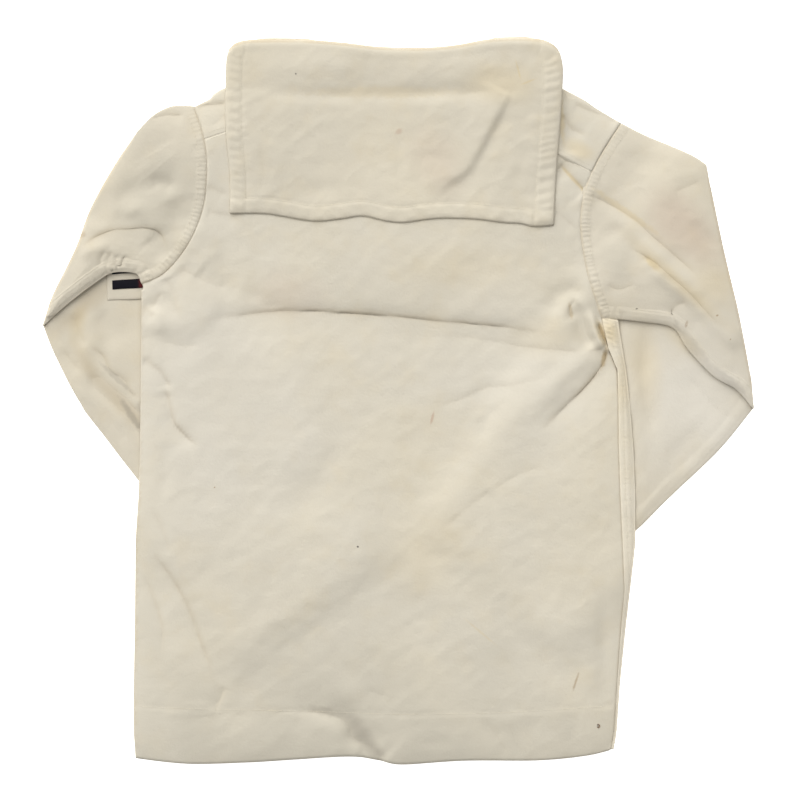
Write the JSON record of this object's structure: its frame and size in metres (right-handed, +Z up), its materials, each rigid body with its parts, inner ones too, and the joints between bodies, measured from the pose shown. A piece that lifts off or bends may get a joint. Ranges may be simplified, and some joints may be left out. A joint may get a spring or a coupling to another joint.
{
  "type": "sailor jumper",
  "caption": "Pullover cotton sailor jumper laid flat with its back up, square collar flap over the yoke, both long sleeves folded under, and a striped mark on the left sleeve.",
  "frame": {"origin": "on the table, under the middle of the laid garment's outline", "axes": "+Z up from the table, +Y towards the neck, +X towards the wearer's right sleeve as it lies face down"},
  "size_m": [0.7461, 0.7648, 0.0196],
  "materials": {
    "drill": "matt cotton twill, off-white and yellowed with age",
    "mark_ground": "plain white cotton",
    "mark_stripe": "dark navy embroidery, faintly shiny"
  },
  "bodies": {
    "root": {"front": "drill", "back": "drill", "yoke": "drill", "sleeve_left": "drill", "sleeve_right": "drill", "collar": "drill", "mark_ground": "mark_ground", "mark_stripe_1": "mark_stripe", "mark_stripe_2": "mark_stripe"}
  },
  "joints": []
}
